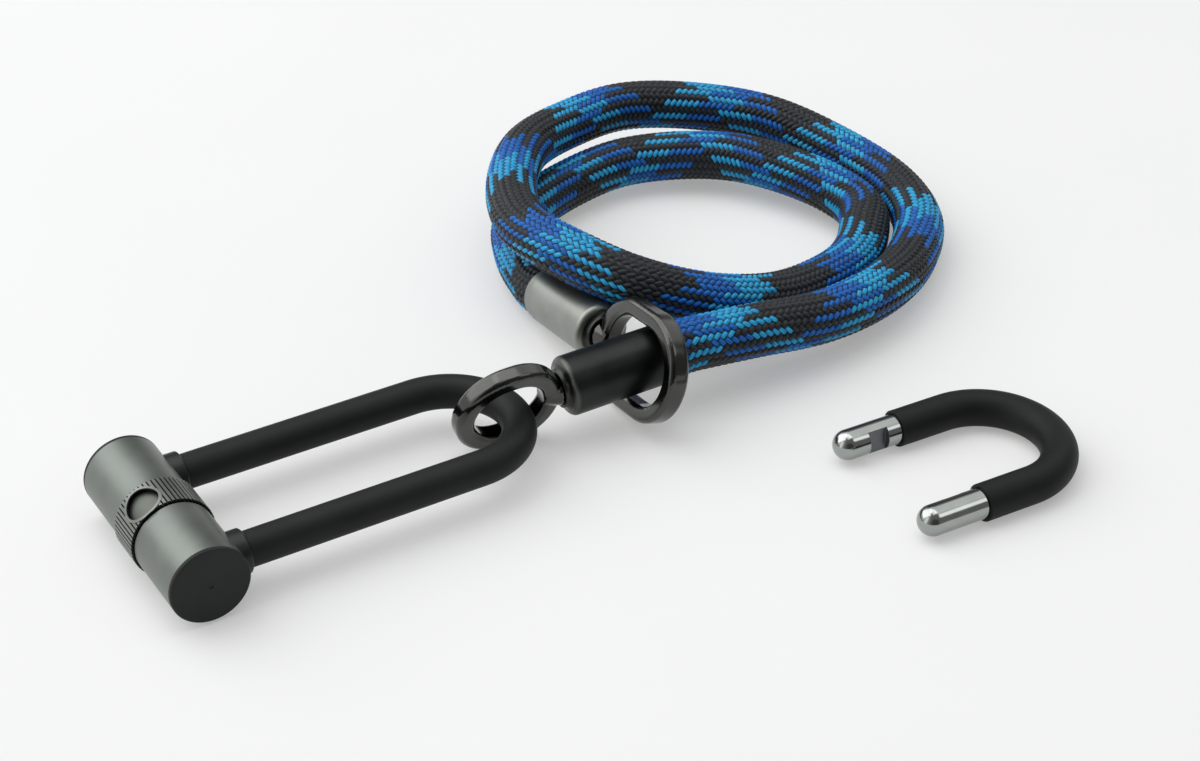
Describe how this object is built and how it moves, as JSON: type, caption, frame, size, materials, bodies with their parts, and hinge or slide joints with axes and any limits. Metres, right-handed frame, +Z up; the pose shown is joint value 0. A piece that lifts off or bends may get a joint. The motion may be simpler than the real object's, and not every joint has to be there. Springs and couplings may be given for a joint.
{
  "type": "cable lock",
  "caption": "Braided anchor rope with a forged swivel eye at each end, a coated U-lock linked through the small eye, and a short spare shackle.",
  "frame": {"origin": "bottom centre of the bounding box of the hard pieces, the rope left out, on the surface that everything lies on", "axes": "+Z up, +X from the lock body towards the long shackle's bend and the rope, +Y to the left of that"},
  "size_m": [0.4421, 0.3561, 0.0556],
  "materials": {
    "rope_sheath": "braided, blue and black",
    "ferrule_grey": "satin",
    "ferrule_black": "satin",
    "bush_black": "satin",
    "forged_black": "gloss",
    "shackle_steel": "polished",
    "shackle_coating": "matte",
    "spare_sleeve": "matte",
    "casing_grey": "satin",
    "cap_black": "matte",
    "collar_black": "satin",
    "dust_ring_grey": "satin, ribbed",
    "chassis_steel": "turned",
    "cylinder_brass": "turned",
    "hard_steel": "ground"
  },
  "bodies": {
    "rope_assembly": {"rope": "rope_sheath", "ferrule_large": "ferrule_grey", "ferrule_small": "ferrule_black", "swivel_bush_large": "bush_black", "swivel_bush_small": "bush_black"},
    "large_eye": {"large_eye": "forged_black"},
    "small_eye": {"small_eye": "forged_black"},
    "long_shackle": {"long_shackle_bar": "shackle_steel", "long_shackle_coat": "shackle_coating"},
    "lock_body": {"lock_chassis": "chassis_steel", "casing_left": "casing_grey", "casing_right": "casing_grey", "end_cap_left": "cap_black", "end_cap_right": "cap_black", "leg_collar_left": "collar_black", "leg_collar_right": "collar_black", "cylinder_housing": "cylinder_brass", "cylinder_pin": "hard_steel"},
    "dust_ring": {"dust_ring": "dust_ring_grey"},
    "core": {"lock_core": "cylinder_brass", "locking_discs": "hard_steel", "sidebar": "hard_steel", "drive_disc": "hard_steel"},
    "bolt_left": {"bolt_left": "hard_steel"},
    "bolt_right": {"bolt_right": "hard_steel"},
    "spare_shackle": {"spare_shackle_bar": "shackle_steel", "spare_shackle_sleeve": "spare_sleeve"}
  },
  "joints": [
    {"name": "large_eye_swivel", "type": "hinge", "parent": "rope_assembly", "child": "large_eye", "pos_m": [0.05, 0.114, 0.0139], "axis": [-0.0346, -0.9908, 0.1305], "range_deg": [-5, 40]},
    {"name": "small_eye_swivel", "type": "hinge", "parent": "rope_assembly", "child": "small_eye", "pos_m": [0.0585, 0.0287, 0.0269], "axis": [-0.9957, 0.0696, -0.061], "continuous": true},
    {"name": "shackle_hinge", "type": "hinge", "parent": "small_eye", "child": "long_shackle", "pos_m": [-0.01397, 0.037, 0.0175], "axis": [0, 1, 0], "range_deg": [-90, 90]},
    {"name": "lock_slide", "type": "slide", "parent": "long_shackle", "child": "lock_body", "axis": [-1, 0, 0], "range_m": [0, 0.06]},
    {"name": "dust_ring_turn", "type": "hinge", "parent": "lock_body", "child": "dust_ring", "pos_m": [-0.16797, 0.037, 0.0175], "axis": [0, 1, 0], "continuous": true},
    {"name": "key_turn", "type": "hinge", "parent": "lock_body", "child": "core", "pos_m": [-0.16797, 0.037, 0.0175], "axis": [-1, 0, 0], "range_deg": [0, 90]},
    {"name": "bolt_left_slide", "type": "slide", "parent": "lock_body", "child": "bolt_left", "axis": [0, 1, 0], "range_m": [0, 0.003]},
    {"name": "bolt_right_slide", "type": "slide", "parent": "lock_body", "child": "bolt_right", "axis": [0, -1, 0], "range_m": [0, 0.003]},
    {"name": "spare_shackle_lift", "type": "slide", "parent": "rope_assembly", "child": "spare_shackle", "axis": [0, 0, 1], "range_m": [0, 0.06]}
  ],
  "couplings": [
    {"joint": "bolt_left_slide", "follows": "key_turn", "m_per_rad": 0.0019099},
    {"joint": "bolt_right_slide", "follows": "key_turn", "m_per_rad": 0.0019099}
  ]
}
